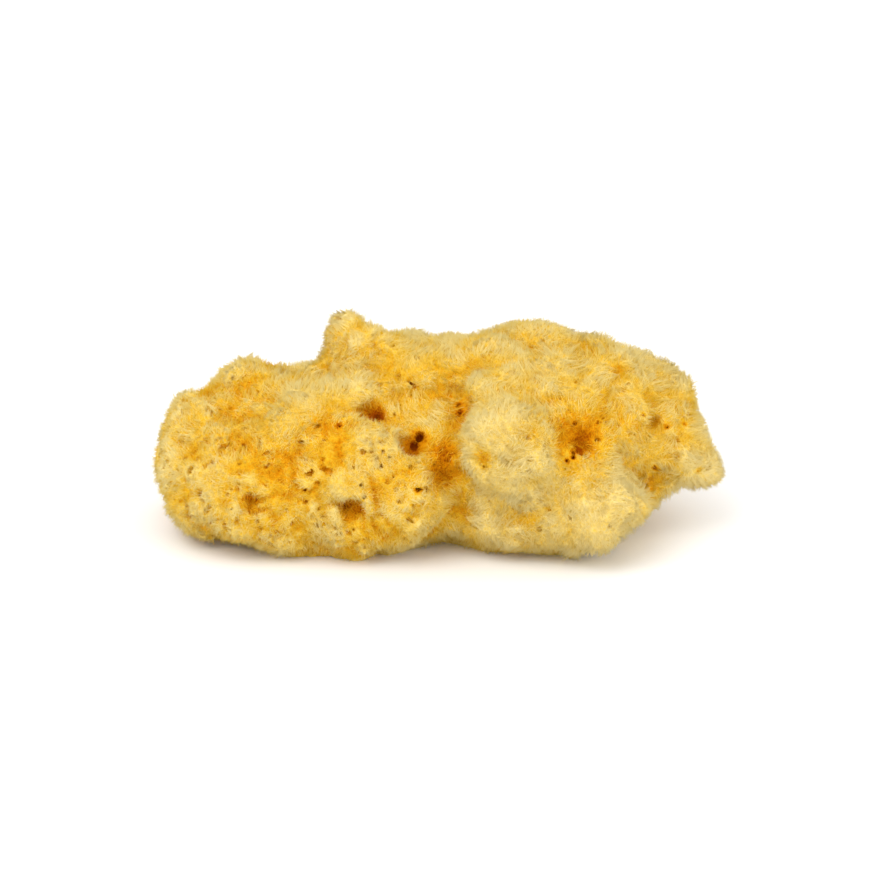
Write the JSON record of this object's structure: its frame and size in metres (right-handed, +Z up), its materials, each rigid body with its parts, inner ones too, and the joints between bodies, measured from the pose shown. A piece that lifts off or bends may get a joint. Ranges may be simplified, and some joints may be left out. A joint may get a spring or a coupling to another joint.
{
  "type": "sea sponge",
  "caption": "Dried natural bath sponge: a low, lobed yellow skeleton of fine fibres with blind pores, cut flat underneath where it was trimmed from the rock.",
  "frame": {"origin": "on the flat trimmed cut that the sponge rests on, under the middle of its bounding box", "axes": "+X along the longest side, towards the end with the overhanging fin; +Z up out of the cut; +Y away from the side with the round cheek and the furrow"},
  "size_m": [0.0854, 0.0468, 0.0326],
  "materials": {
    "sponge": "matt, fibrous, dry"
  },
  "bodies": {
    "root": {"sponge": "sponge"}
  },
  "joints": []
}
